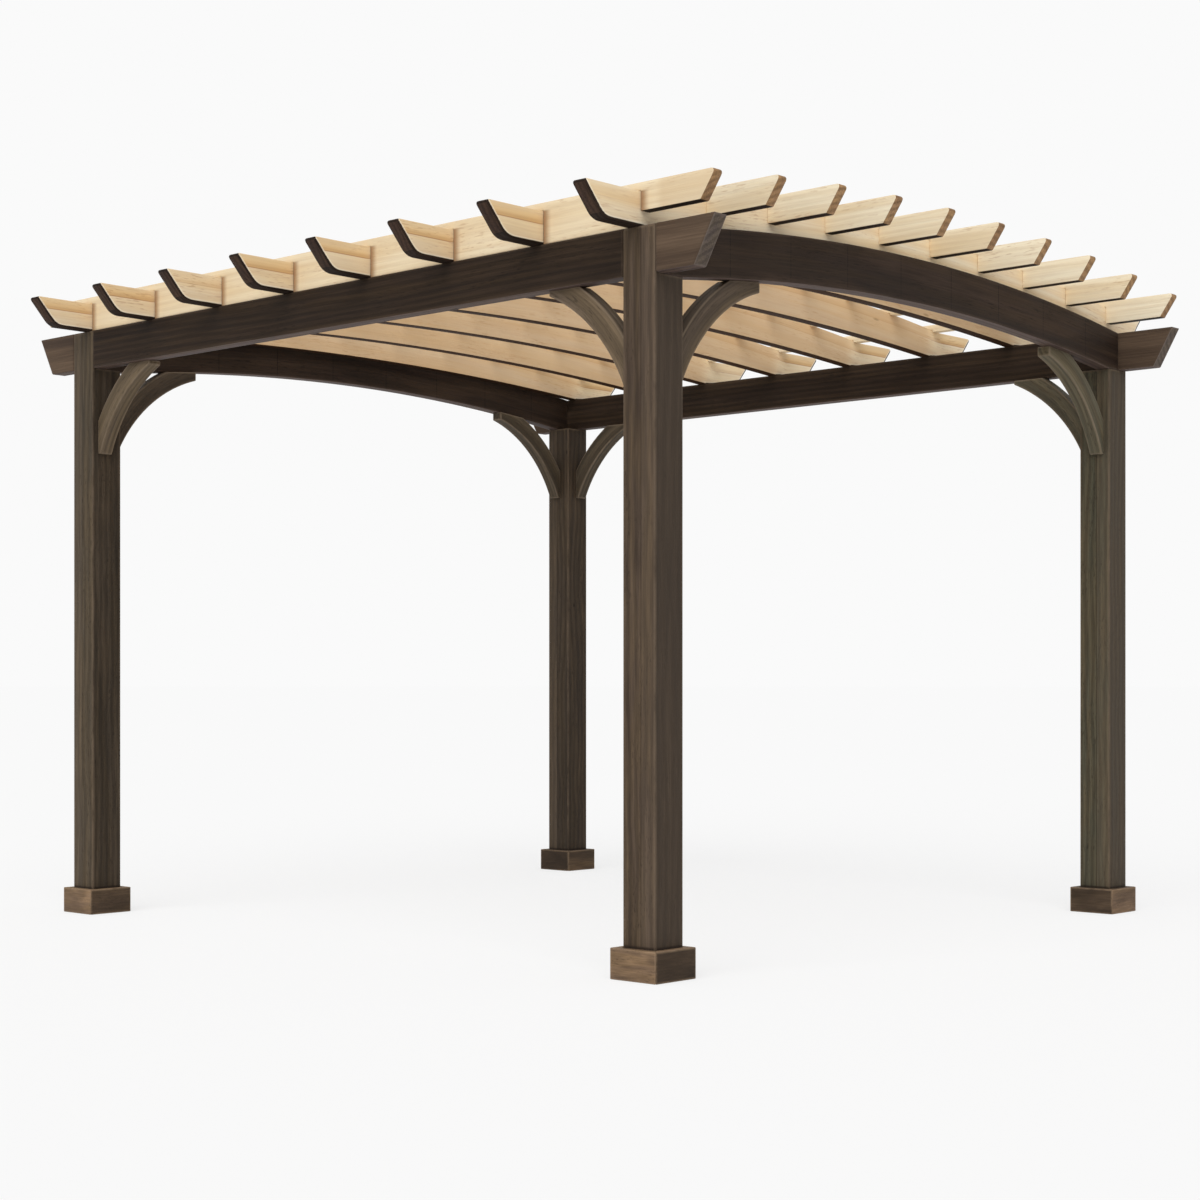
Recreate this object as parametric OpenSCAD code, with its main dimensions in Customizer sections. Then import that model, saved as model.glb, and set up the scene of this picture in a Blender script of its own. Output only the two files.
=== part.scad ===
// Arched pergola of stained and natural timber, free standing on four posts.
// +X runs along the arch, +Y along the straight beams and +Z is up.
// The origin is on the ground, in the middle between the posts. All sizes are in millimetres.

/* [Posts] */
// Post spacing along the arch, centre to centre
span_x = 2500; // [2200:10:3000]
// Post spacing along the straight beams, centre to centre
span_y = 2700; // [2200:10:3000]
// Side of a square post
post_w = 120; // [110:1:140]
// Height from the ground to the underside of the beams
headroom = 1975; // [1800:5:2300]
// Thickness of the tongue at a post's head, which laps the face of the straight beam
tongue_t = 22; // [16:1:28]
// Thickness of the trim boards round a post's foot
trim_t = 26; // [18:1:35]
// Height of the trim boards round a post's foot
trim_h = 89; // [70:1:120]

/* [Beams] */
// Thickness of the straight and the arched beams
beam_t = 55; // [48:1:64]
// Depth of the straight beams, and of the arched beams at their ends
beam_d = 135; // [115:1:160]
// Length of a straight beam's tail past the post, along its top edge
beam_tail = 215; // [150:5:300]
// How far a straight beam's end is cut back from its top edge to its bottom edge
beam_cut = 75; // [40:1:110]
// Rise of the rafters' top edge
arch_rise = 80; // [60:1:100]
// Rise of the rafters' bottom edge, which is flatter: they are deepest in the middle
belly_rise = 48; // [35:1:60]
// How far the arched beams stand up before the end rafters, in the middle
crown_lap = 6; // [0:1:34]
// Rise of the arched beams' bottom edge
soffit_rise = 78; // [55:1:95]

/* [Braces] */
// Reach of a knee brace down the post, and of a side brace along its beam
brace_reach = 310; // [260:5:315]
// Reach of an arch brace along its beam
arch_brace_reach = 375; // [330:5:390]
// Distance of a brace's upper edge from the corner between post and beam
brace_seat = 190; // [150:5:210]
// Width of the blunt nose at each end of a brace
brace_nose = 15; // [8:1:25]
// Distance of the centre of a brace's two arcs from the post and from the beam
brace_centre = 530; // [480:5:800]
// Thickness of a brace
brace_t = 50; // [40:1:56]
// Setback of a brace from the outer face of its post
brace_setback = 22; // [18:1:30]

/* [Rafters] */
// Number of arched rafters
rafter_count = 8; // [6:1:9]
// Thickness of a rafter
rafter_t = 48; // [40:1:56]
// Depth of a rafter at its tails
rafter_d = 98; // [90:1:112]
// Length of a rafter's tail past the straight beam
rafter_tail = 230; // [200:5:320]
// How far a rafter's end is cut back from its top edge to its bottom edge
rafter_cut = 85; // [50:1:110]
// Radius of the bow between a rafter's end cut and its bottom edge
bow_r = 60; // [30:5:100]
// Gap between an end rafter and the arched beam before it
rafter_gap = 4; // [1:1:10]

/* [Slats] */
// Number of straight slats
slat_count = 10; // [8:1:12]
// Thickness of a slat
slat_t = 38; // [32:1:42]
// Depth of a slat's tails
slat_d = 81; // [70:1:86]
// Height of a slat's top edge above the rafters that it crosses
slat_proud = 22; // [16:1:30]
// Depth of a slat's notches over the rafters, between the end rafters
slat_seat = 6; // [3:1:12]
// How far a slat's end is cut back from its top edge to its bottom edge
slat_cut = 55; // [35:1:80]
// Setback of the end slats from the outer face of the straight beams
slat_setback = 5; // [2:1:15]
// Side clearance of a lap or a notch
lap_clear = 0.5; // [0.2:0.1:1]

/* [Hidden] */
$fn = 1440;
// Overshoot of a cut past the faces that it goes through
cut_over = 1;
// Least gap between the arched beams' top edge and the slats over it
crown_clear = 6;
// How far a rafter's arched part and its tails run into each other
tail_lap = 20;

// Faces of the posts and beams, measured from the middle
post_out_x = span_x / 2 + post_w / 2;
post_out_y = span_y / 2 + post_w / 2;
post_in_x = post_out_x - post_w;
post_in_y = post_out_y - post_w;
beam_in_x = post_out_x - beam_t;
beam_top = headroom + beam_d;
beam_tip_y = post_out_y + beam_tail;
crown_rise = arch_rise + min(crown_lap, rafter_d + slat_proud - slat_d - crown_clear);

// Radius of an arc from half its chord and its rise
function arc_r(half, rise) = (half * half + rise * rise) / (2 * rise);
// Height of an arc's centre from half its chord, its rise and the height of its ends
function arc_centre(half, rise, end_z) = end_z + rise - arc_r(half, rise);

// Arcs of the arch: the beams' soffit and crown, and the rafters' belly and back
soffit_r = arc_r(post_in_x, soffit_rise);
soffit_z = arc_centre(post_in_x, soffit_rise, headroom);
// Height of the soffit above its ends, at a distance from the post
function soffit_at(reach) =
    soffit_z - headroom + sqrt(soffit_r * soffit_r - (post_in_x - reach) * (post_in_x - reach));
crown_r = arc_r(beam_in_x, crown_rise);
crown_z = arc_centre(beam_in_x, crown_rise, beam_top);
belly_r = arc_r(beam_in_x, belly_rise);
belly_z = arc_centre(beam_in_x, belly_rise, beam_top);
rafter_top = beam_top + rafter_d;
back_r = arc_r(post_out_x, arch_rise);
back_z = arc_centre(post_out_x, arch_rise, rafter_top);
// Height of the rafters' back at a distance from the middle
function back_at(x) = back_z + sqrt(back_r * back_r - x * x);

// Brace arcs: the lower one passes the two noses, the upper one passes the two seats
brace_low_r = norm([brace_centre - brace_nose, brace_centre - brace_reach]);
brace_high_r = norm([brace_centre, brace_centre - brace_seat]);

// Rafter tail: its tip, and the bow that rounds the corner of its end cut
tail_tip_x = post_out_x + rafter_tail;
tail_corner_x = tail_tip_x - rafter_cut;
tail_angle = atan2(rafter_d, rafter_cut);
bow_tangent = bow_r * tan(tail_angle / 2);

// Rows of rafters along Y and of slats along X
rafter_end_y = post_out_y - beam_t - rafter_gap - rafter_t / 2;
rafter_step = 2 * rafter_end_y / (rafter_count - 1);
slat_end_x = post_out_x - slat_setback - slat_t / 2;
slat_step = 2 * slat_end_x / (slat_count - 1);
function rafter_y(i) = -rafter_end_y + (i - 1) * rafter_step;
function slat_x(i) = -slat_end_x + (i - 1) * slat_step;

// Corners in plan: the front is the arched side at -Y, the left is the straight side at -X
corners = ["front_left", "front_right", "back_left", "back_right"];
corner_side = [[-1, -1], [1, -1], [-1, 1], [1, 1]];
sides = ["left", "right"];
ends = ["front", "back"];

// Moves a piece drawn at the front left corner to the corner at the given side
module at_corner(side) {
    mirror([side[0] > 0 ? 1 : 0, 0, 0])
        mirror([0, side[1] > 0 ? 1 : 0, 0])
            children();
}

// Extrudes an outline drawn in Y and Z along +X from x
module along_x(x, thick) {
    translate([x, 0, 0]) rotate([90, 0, 90]) linear_extrude(thick) children();
}

// Extrudes an outline drawn in X and Z along +Y from y
module along_y(y, thick) {
    translate([0, y + thick, 0]) rotate([90, 0, 0]) linear_extrude(thick) children();
}

// A post: its shoulder carries both beams, and its tongue runs up the outer face to the beam's top
module post() {
    color("#4b4239")
        translate([-post_out_x, -post_out_y, 0]) {
            cube([post_w, post_w, headroom]);
            cube([tongue_t, post_w, beam_top]);
        }
}

// The trim boards that box in a post's foot
module base_trim() {
    color("#5c4a3d")
        translate([-post_out_x, -post_out_y, 0])
            difference() {
                translate([-trim_t, -trim_t, 0])
                    cube([post_w + 2 * trim_t, post_w + 2 * trim_t, trim_h]);
                translate([0, 0, -cut_over])
                    cube([post_w, post_w, trim_h + 2 * cut_over]);
            }
}

// A straight beam with slanting ends, housed for the tongues of its two posts
module straight_beam() {
    color("#41372f")
        difference() {
            along_x(-post_out_x, beam_t)
                polygon([
                    [-beam_tip_y, beam_top],
                    [beam_cut - beam_tip_y, headroom],
                    [beam_tip_y - beam_cut, headroom],
                    [beam_tip_y, beam_top]
                ]);
            for (y = [-1, 1] * span_y / 2)
                translate([
                    -post_out_x - cut_over,
                    y - post_w / 2 - lap_clear,
                    headroom - cut_over
                ])
                    cube([tongue_t + cut_over, post_w + 2 * lap_clear, beam_d + 2 * cut_over]);
        }
}

// An arched beam: arched from post to post underneath, and bowed higher than the rafters along its top
module arched_beam() {
    color("#372d28")
        along_y(-post_out_y, beam_t)
            difference() {
                intersection() {
                    translate([0, crown_z]) circle(r = crown_r);
                    translate([-beam_in_x, headroom]) square([2 * beam_in_x, 2 * beam_d]);
                }
                intersection() {
                    translate([0, soffit_z]) circle(r = soffit_r);
                    translate([-beam_in_x, headroom - cut_over])
                        square([2 * beam_in_x, 2 * beam_d]);
                }
            }
}

// The band between the two arcs of a knee brace, from the corner between post and beam
module brace_band() {
    translate([brace_centre, -brace_centre])
        difference() {
            circle(r = brace_high_r);
            circle(r = brace_low_r);
        }
}

// Outline of a side brace, which ends level under its beam
module side_brace_outline() {
    intersection() {
        translate([0, -brace_reach]) square(brace_reach);
        brace_band();
    }
}

// Outline of an arch brace, whose seat slopes with the arched beam's soffit
module arch_brace_outline() {
    seat_start = arch_brace_reach * 2 / 3;
    seat_end = arch_brace_reach;
    slope = (soffit_at(seat_end) - soffit_at(seat_start)) / (seat_end - seat_start);
    intersection() {
        polygon([
            [0, -brace_reach],
            [seat_end, -brace_reach],
            [seat_end, soffit_at(seat_end)],
            [0, soffit_at(seat_end) - slope * seat_end]
        ]);
        brace_band();
    }
}

// The brace under a straight beam
module side_brace() {
    color("#595147")
        along_x(brace_setback - post_out_x, brace_t)
            translate([-post_in_y, headroom]) side_brace_outline();
}

// The brace under an arched beam
module arch_brace() {
    color("#514a40")
        along_y(brace_setback - post_out_y, brace_t)
            translate([-post_in_x, headroom]) arch_brace_outline();
}

// Outline of a rafter's tail at +X: level, with a slanting end cut and a round bow beneath it
module tail_outline() {
    corner = [tail_corner_x, beam_top];
    bow_start = corner - [bow_tangent, 0];
    bow_end = corner + bow_tangent * [cos(tail_angle), sin(tail_angle)];
    polygon([
        [post_out_x - tail_lap, beam_top],
        bow_start,
        bow_end,
        [tail_tip_x, rafter_top],
        [post_out_x - tail_lap, rafter_top]
    ]);
    intersection() {
        translate(bow_start + [0, bow_r]) circle(r = bow_r);
        polygon([bow_start, corner, bow_end]);
    }
}

// An arched rafter: level seats on the straight beams, arched between them, with a tail at each end
module rafter(i) {
    color("#d9b988")
        along_y(rafter_y(i) - rafter_t / 2, rafter_t) {
            difference() {
                intersection() {
                    translate([0, back_z]) circle(r = back_r);
                    translate([-post_out_x - tail_lap, beam_top])
                        square([2 * (post_out_x + tail_lap), rafter_d + 2 * arch_rise]);
                }
                intersection() {
                    translate([0, belly_z]) circle(r = belly_r);
                    translate([-post_out_x, beam_top - cut_over])
                        square([2 * post_out_x, 2 * arch_rise]);
                }
            }
            tail_outline();
            mirror([1, 0]) tail_outline();
        }
}

// Outline of a slat in Y and Z, with slanting ends. Its tails hook over the end rafters, and between
// them it is cut back to its seat. The left slat also fills the space down to its straight beam there
module slat_outline(top, filled) {
    low = top - slat_d;
    seat = top - slat_proud - slat_seat;
    hook_y = rafter_end_y + rafter_t / 2;
    fill_y = rafter_end_y - rafter_t / 2 - lap_clear;
    polygon([
        [-beam_tip_y, top],
        [slat_cut - beam_tip_y, low],
        [-hook_y, low],
        [-hook_y, seat],
        [hook_y, seat],
        [hook_y, low],
        [beam_tip_y - slat_cut, low],
        [beam_tip_y, top]
    ]);
    if (filled)
        translate([-fill_y, beam_top]) square([2 * fill_y, seat + cut_over - beam_top]);
}

// A straight slat, notched from below over every rafter
module slat(i) {
    filled = i == 1;
    color("#e0c394")
        difference() {
            along_x(slat_x(i) - slat_t / 2, slat_t)
                slat_outline(back_at(slat_x(i)) + slat_proud, filled);
            intersection() {
                along_y(-post_out_y, 2 * post_out_y) translate([0, back_z]) circle(r = back_r);
                for (r = [1:rafter_count])
                    translate([
                        slat_x(i) - slat_t / 2 - cut_over,
                        rafter_y(r) - rafter_t / 2 - lap_clear,
                        beam_top - cut_over
                    ])
                        cube([
                            slat_t + 2 * cut_over,
                            rafter_t + 2 * lap_clear,
                            rafter_d + 2 * arch_rise
                        ]);
            }
        }
}

for (c = [0:3]) {
    at_corner(corner_side[c]) post();
    at_corner(corner_side[c]) base_trim();
    at_corner(corner_side[c]) side_brace();
    at_corner(corner_side[c]) arch_brace();
}
straight_beam();  // straight_beam_left
mirror([1, 0, 0]) straight_beam();  // straight_beam_right
arched_beam();  // arched_beam_front
mirror([0, 1, 0]) arched_beam();  // arched_beam_back
for (i = [1:rafter_count])
    rafter(i);
for (i = [1:slat_count])
    slat(i);
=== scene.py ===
# %% [markdown]
# # An arched wooden pergola, dressed in Blender
# The construction model is loaded first and stays where it is, as a fixed frame. Each of its solids
# is then replaced by a piece of timber modelled in the same place. A construction solid has knife
# edges and no grain, and on the real pergola every board has eased edges, end cuts and a stain.

import math

import bpy
from mathutils import Matrix, Vector


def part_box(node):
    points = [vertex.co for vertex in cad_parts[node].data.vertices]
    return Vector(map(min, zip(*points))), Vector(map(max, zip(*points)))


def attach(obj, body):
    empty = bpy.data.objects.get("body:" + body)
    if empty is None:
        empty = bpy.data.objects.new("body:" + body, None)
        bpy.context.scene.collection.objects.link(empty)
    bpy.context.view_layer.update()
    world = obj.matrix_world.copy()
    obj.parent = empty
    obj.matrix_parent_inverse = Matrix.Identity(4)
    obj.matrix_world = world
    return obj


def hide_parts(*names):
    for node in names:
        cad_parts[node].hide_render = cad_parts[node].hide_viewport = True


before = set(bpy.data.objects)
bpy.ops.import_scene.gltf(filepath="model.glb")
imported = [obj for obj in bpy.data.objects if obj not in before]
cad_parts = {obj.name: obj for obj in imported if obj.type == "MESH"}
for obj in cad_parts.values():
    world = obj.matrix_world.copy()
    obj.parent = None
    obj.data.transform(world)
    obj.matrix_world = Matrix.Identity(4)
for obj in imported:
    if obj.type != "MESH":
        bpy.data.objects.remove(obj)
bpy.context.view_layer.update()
bpy.ops.object.select_all(action="DESELECT")

# %% [markdown]
# ## Camera
# The picture was taken from the ground, from in front of one corner, with a level camera: all posts
# are upright in it. A level camera shows the roof by shifting the frame upwards, as an architect's
# lens does, because tilting the camera would make the posts lean together.

# %% Set up a level camera with a shifted frame
image_size = 1200
focal_pixels = 2171.0
horizon_row = 685.4
camera_place = Vector((-5.847, -5.376, 0.826))
camera_turn = math.radians(-47.39)

camera_data = bpy.data.cameras.new("level_camera")
camera_data.sensor_width = 36.0
camera_data.lens = focal_pixels / image_size * camera_data.sensor_width
camera_data.shift_y = (horizon_row - image_size / 2) / image_size
camera_data.clip_end = 2000.0
camera = bpy.data.objects.new("level_camera", camera_data)
camera.location = camera_place
camera.rotation_euler = (math.radians(90), 0.0, camera_turn)
bpy.context.collection.objects.link(camera)
bpy.context.scene.camera = camera
print("lens", round(camera_data.lens, 2), "shift", round(camera_data.shift_y, 4))

# %% [markdown]
# ## Floor, sky and light
# The pergola stands on a wide pale floor under an even white sky. One broad soft lamp high on the
# left makes the left faces of the posts lighter than the right ones. Sky and lamp together light a
# level surface with a strength of about one, so that a colour renders about as it is written.

# %% Lay the floor and light the scene
bpy.context.scene.view_settings.view_transform = "Standard"
floor_size = 2400.0
floor_drop = 0.001
floor_colour = 249, 249, 249
floor_whitening = 0.7
sky_colour = 250, 250, 250
sky_strength = 0.52
lamp_strength = 2.0
lamp_spread = math.radians(60)
lamp_towards = Vector((0.64, 0.34, -0.75))


def linear(red, green, blue):
    """Colour from 0 to 255, as a painter reads it, to the linear values that shaders use."""
    steps = [channel / 255 for channel in (red, green, blue)]
    curve = [s / 12.92 if s <= 0.04045 else ((s + 0.055) / 1.055) ** 2.4 for s in steps]
    return (*curve, 1.0)


def feed(tree, node, values):
    """Sets inputs of a node, or links them where the value is another node's output."""
    for name, value in values.items():
        if isinstance(value, bpy.types.NodeSocket):
            tree.links.new(value, node.inputs[name])
        else:
            node.inputs[name].default_value = value


def add_node(tree, kind, values=None, **options):
    """Adds a node, sets its options and feeds its inputs."""
    made = tree.nodes.new(kind)
    for option, value in options.items():
        setattr(made, option, value)
    feed(tree, made, values or {})
    return made


def grow(kind, values, **options):
    """Adds a node to the tree that its inputs come from."""
    sources = [value for value in values.values() if isinstance(value, bpy.types.NodeSocket)]
    return add_node(sources[0].id_data, kind, values, **options)


def joined(operation, first, second):
    """Two masks or numbers put together."""
    return grow("ShaderNodeMath", {0: first, 1: second}, operation=operation).outputs[0]


def product(first, *others):
    """Masks and numbers multiplied."""
    for other in others:
        first = joined("MULTIPLY", first, other)
    return first


def seen_directly(tree):
    """One for what the camera, a mirror or clear glass sees, and zero for light that is passed on."""
    path = add_node(tree, "ShaderNodeLightPath").outputs
    mask = path["Is Camera Ray"]
    for ray in ("Is Glossy Ray", "Is Transmission Ray"):
        mask = joined("MAXIMUM", mask, path[ray])
    return mask


def show(tree, output, share, rest, seen):
    """Mixes two shaders by a share and gives them to the output."""
    mixed = grow("ShaderNodeMixShader", {0: share, 1: rest.outputs[0], 2: seen.outputs[0]})
    feed(tree, tree.nodes[output], {"Surface": mixed.outputs[0]})


def make_floor():
    """A flat sheet to the horizon. The camera sees it whitened, and its light and shadow stay real."""
    bpy.ops.mesh.primitive_plane_add(size=floor_size, location=(0.0, 0.0, -floor_drop))
    floor = bpy.context.object
    floor.name = "floor"
    paint = bpy.data.materials.new("floor_paint")
    paint.use_nodes = True
    tree = paint.node_tree
    shader = tree.nodes["Principled BSDF"]
    matt = {"Base Color": linear(*floor_colour), "Roughness": 1.0, "Specular IOR Level": 0.0}
    feed(tree, shader, matt)
    white = add_node(tree, "ShaderNodeEmission", {"Strength": 1.0})
    whitened = product(seen_directly(tree), floor_whitening)
    show(tree, "Material Output", whitened, shader, white)
    floor.data.materials.append(paint)


def make_sky():
    """White to the camera and in reflections, and an even light of its own strength to the rest."""
    world = bpy.data.worlds.new("even_sky")
    bpy.context.scene.world = world
    world.use_nodes = True
    tree = world.node_tree
    seen = tree.nodes["Background"]
    feed(tree, seen, {"Color": linear(*sky_colour)})
    light = add_node(tree, "ShaderNodeBackground", {"Strength": sky_strength})
    show(tree, "World Output", seen_directly(tree), light, seen)


def make_lamp():
    """A broad soft lamp, high on the left."""
    data = bpy.data.lights.new("soft_lamp", "SUN")
    data.energy = lamp_strength
    data.angle = lamp_spread
    lamp = bpy.data.objects.new("soft_lamp", data)
    lamp.rotation_euler = lamp_towards.to_track_quat("-Z", "Y").to_euler()
    bpy.context.collection.objects.link(lamp)


make_floor()
make_sky()
make_lamp()
print("floor, sky and lamp are set")

# %% [markdown]
# ## Grain, shared by every timber
# Timber shows broad streaks of lighter and darker wood, streaks of another hue, fine fibres, growth
# rings, short flecks and a few pin knots, all drawn out along the board. One node group makes these
# masks from a vector that each piece carries in its mesh: first the place along the grain, then the
# two places across it. On an arched piece that vector bends with the arch, and so does the grain.

# %% Build the grain group
no_shift = 0.0, 0.0, 0.0
# Scale along and across the grain, shift, detail, roughness, distortion, and the range that shows
grain_noises = {
    "Streak": (0.8, 17.0, no_shift, 5.0, 0.58, 0.5, 0.28, 0.74),
    "Hue": (1.3, 26.0, (3.7, 1.9, 5.3), 4.0, 0.55, 0.4, 0.36, 0.66),
    "Fibre": (4.5, 190.0, no_shift, 3.0, 0.6, 0.2, 0.25, 0.75),
    "Fleck": (24.0, 230.0, (2.9, 8.1, 4.7), 2.0, 0.5, 0.0, 0.56, 0.68),
    "Patch": (2.4, 15.0, (6.1, 3.3, 0.7), 2.0, 0.5, 0.0, 0.42, 0.6),
}
ring_wave = {
    "Scale": 16.0, "Distortion": 9.0, "Detail": 3.0, "Detail Scale": 0.35, "Detail Roughness": 0.55
}
grain_masks = "Streak", "Hue", "Fibre", "Ring", "Fleck", "Knot", "Height"


def start_group(name, inputs, outputs):
    """A node group, with its own input and output node."""
    tree = bpy.data.node_groups.new(name, "ShaderNodeTree")
    for socket, kind in inputs.items():
        tree.interface.new_socket(socket, in_out="INPUT", socket_type=kind)
    for socket in outputs:
        tree.interface.new_socket(socket, in_out="OUTPUT", socket_type="NodeSocketFloat")
    return tree, add_node(tree, "NodeGroupInput").outputs, add_node(tree, "NodeGroupOutput")


def stretched(vector, along, across, shift=no_shift):
    """The vector scaled along and across the grain."""
    values = {"Vector": vector, "Location": shift, "Scale": (along, across, across)}
    return grow("ShaderNodeMapping", values).outputs["Vector"]


def spread(mask, low, high, start=0.0, end=1.0):
    """The mask stretched, so that low becomes start and high becomes end."""
    values = {"Value": mask, "From Min": low, "From Max": high, "To Min": start, "To Max": end}
    return grow("ShaderNodeMapRange", values, interpolation_type="SMOOTHSTEP").outputs["Result"]


def noise(grain, along, across, shift, detail, roughness, distortion, low, high, start=0.0):
    """A mask of noise, drawn out along the grain."""
    values = {"Vector": stretched(grain, along, across, shift), "Scale": 1.0, "Detail": detail}
    values.update({"Roughness": roughness, "Distortion": distortion})
    return spread(grow("ShaderNodeTexNoise", values).outputs["Fac"], low, high, start)


def make_grain_group():
    """Masks of streaks, hue, fibres, rings, flecks and knots, and a height made from them."""
    tree, given, result = start_group("timber_grain", {"Grain": "NodeSocketVector"}, grain_masks)
    grain = given["Grain"]
    masks = {name: noise(grain, *numbers) for name, numbers in grain_noises.items()}
    masks["Fleck"] = product(masks["Fleck"], masks.pop("Patch"))
    rings = {"Vector": stretched(grain, 0.16, 1.0), **ring_wave}
    wave = grow("ShaderNodeTexWave", rings, wave_type="RINGS", rings_direction="X")
    masks["Ring"] = spread(wave.outputs["Fac"], 0.1, 0.95)
    spots = {"Vector": stretched(grain, 3.2, 13.0), "Scale": 1.0}
    cells = grow("ShaderNodeTexVoronoi", spots, feature="F1").outputs
    number = grow("ShaderNodeSeparateColor", {"Color": cells["Color"]}).outputs["Red"]
    centre = spread(cells["Distance"], 0.085, 0.02)
    masks["Knot"] = product(centre, spread(number, 0.6, 0.65))
    raised = product(masks["Fibre"], 0.55), product(masks["Ring"], 0.35)
    sunk = product(masks["Knot"], 0.4)
    masks["Height"] = joined("SUBTRACT", joined("ADD", *raised), sunk)
    feed(tree, result, masks)
    return tree


grain_group = make_grain_group()
print("grain masks", grain_masks)

# %% [markdown]
# ## Worn arrises
# Stain rubs thin along the arrises, the long corners of a timber, and leaves a paler line there. The
# mesh carries a mask that is one on the rounded corners and fades out a few millimetres beside
# them. The wear group breaks that mask up with noise, so that the line is uneven like real wear.

# %% Build the wear group
wear_noise = 5.0, 30.0, no_shift, 4.0, 0.6, 0.3, 0.3, 0.62, 0.25
wear_fall = 1.6


def make_wear_group():
    """A mask of rubbed arrises, uneven along the grain."""
    inputs = {"Grain": "NodeSocketVector", "Arris": "NodeSocketFloat"}
    tree, given, result = start_group("arris_wear", inputs, ["Wear"])
    uneven = noise(given["Grain"], *wear_noise)
    soft = joined("POWER", given["Arris"], wear_fall)
    feed(tree, result, {"Wear": product(soft, uneven)})
    return tree


wear_group = make_wear_group()
print("wear group made")

# %% [markdown]
# ## Timber finishes
# Every finish is the same build with its own colours: a dark and a light wood colour mixed by the
# streaks, a tint that differs from board to board, and darker rings, fibres, flecks and knots over
# them. The stained timbers also get painted shade on the faces that the mesh marks, which turns
# them towards darker copies of their colours, and paler wear on the arrises. The rafters have a glue
# line, because they are laminated: a warmer layer above it and a paler one below.

# %% Write the timber finishes
mix_inputs = 0, 6, 7
mix_output = 2
gloss_range = 0.07
relief_depth = 0.0015
stain_roughness = 0.62
stain_relief = 0.6
stain_sheen = 0.09
olive_turn = 1.08, 1.06, 0.9
# Share of each mask in a stain, and how far it turns the dark colour down
stain_marks = {"Ring": (0.32, 0.42), "Fibre": (0.38, 0.38), "Fleck": (0.5, 0.5), "Knot": (1.0, 0.42)}
wood_roughness = 0.55
wood_relief = 0.4
# Share of each mask in natural wood
wood_marks = {"Ring": 0.1, "Fibre": 0.14, "Fleck": 0.4}
glue_depth = 0.039
# Distances from the middle between which the warm layer of a rafter grows to its full strength
band_zone = 1.26, 1.34


def tinted(mask, under, over, share=1.0):
    """The colour under, turned into the colour over where the mask is one, or a share of the way."""
    if share < 1.0:
        mask = product(mask, share)
    under, over = (linear(*c) if isinstance(c, tuple) else c for c in (under, over))
    values = dict(zip(mix_inputs, (mask, under, over)))
    return grow("ShaderNodeMix", values, data_type="RGBA").outputs[mix_output]


def darker(colour, share):
    """The colour with each channel turned down."""
    return tuple(share * channel for channel in colour)


def carried(tree, name, output):
    """A value that the mesh carries under this name."""
    return add_node(tree, "ShaderNodeAttribute", attribute_name=name).outputs[output]


def start_timber(name):
    """A material with the grain group placed in it."""
    material = bpy.data.materials.new(name)
    material.use_nodes = True
    tree = material.node_tree
    place = {"Grain": carried(tree, "grain", "Vector")}
    return material, tree, grow("ShaderNodeGroup", place, node_tree=grain_group).outputs


def end_timber(tree, grain, colour, roughness, bump, sheen):
    """Joins the colour, an uneven gloss and the relief of the grain to the shader."""
    gloss = spread(grain["Streak"], 0.0, 1.0, roughness - gloss_range, roughness + gloss_range)
    bumps = {"Strength": bump, "Distance": relief_depth, "Height": grain["Height"]}
    relief = grow("ShaderNodeBump", bumps).outputs["Normal"]
    looks = {"Base Color": colour, "Roughness": gloss, "Specular IOR Level": sheen, "Normal": relief}
    feed(tree, tree.nodes["Principled BSDF"], looks)


def place_along(tree, axis):
    """The place on the pergola along an axis."""
    place = add_node(tree, "ShaderNodeTexCoord").outputs["Object"]
    return grow("ShaderNodeSeparateXYZ", {0: place}).outputs[axis]


def unsigned(value):
    """The value without its sign."""
    return joined("ABSOLUTE", value, 0.0)


def from_middle(tree, axis):
    """Distance from the middle of the pergola along an axis."""
    return unsigned(place_along(tree, axis))


def stained_timber(name, dark, light, other, worn, marks=None, shaded=0.63):
    """A brown stain: dark and light streaks, another tint on some boards, painted shade by face, and worn
    arrises.
    """
    material, tree, grain = start_timber(name)
    colour = tinted(grain["Streak"], dark, light)
    board = spread(carried(tree, "board_tone", "Fac"), 0.0, 1.0)
    colour = tinted(board, colour, other, 0.8)
    olive = tuple(turn * channel for turn, channel in zip(olive_turn, light))
    colour = tinted(grain["Hue"], colour, olive, 0.35)
    # Painted shade: faces that carry a face shade turn towards darker copies of the stain colours
    deep = tinted(grain["Streak"], darker(dark, shaded - 0.04), darker(light, shaded + 0.04))
    colour = tinted(carried(tree, "face_shade", "Fac"), colour, deep, 0.45)
    for mask, (share, depth) in stain_marks.items():
        colour = tinted(grain[mask], colour, darker(dark, depth), share)
    if marks:
        colour = marks(tree, grain, colour)
    place = {"Grain": carried(tree, "grain", "Vector"), "Arris": carried(tree, "arris", "Fac")}
    wear = grow("ShaderNodeGroup", place, node_tree=wear_group).outputs["Wear"]
    colour = tinted(wear, colour, worn, 0.5)
    end_timber(tree, grain, colour, stain_roughness, stain_relief, stain_sheen)
    return material


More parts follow.
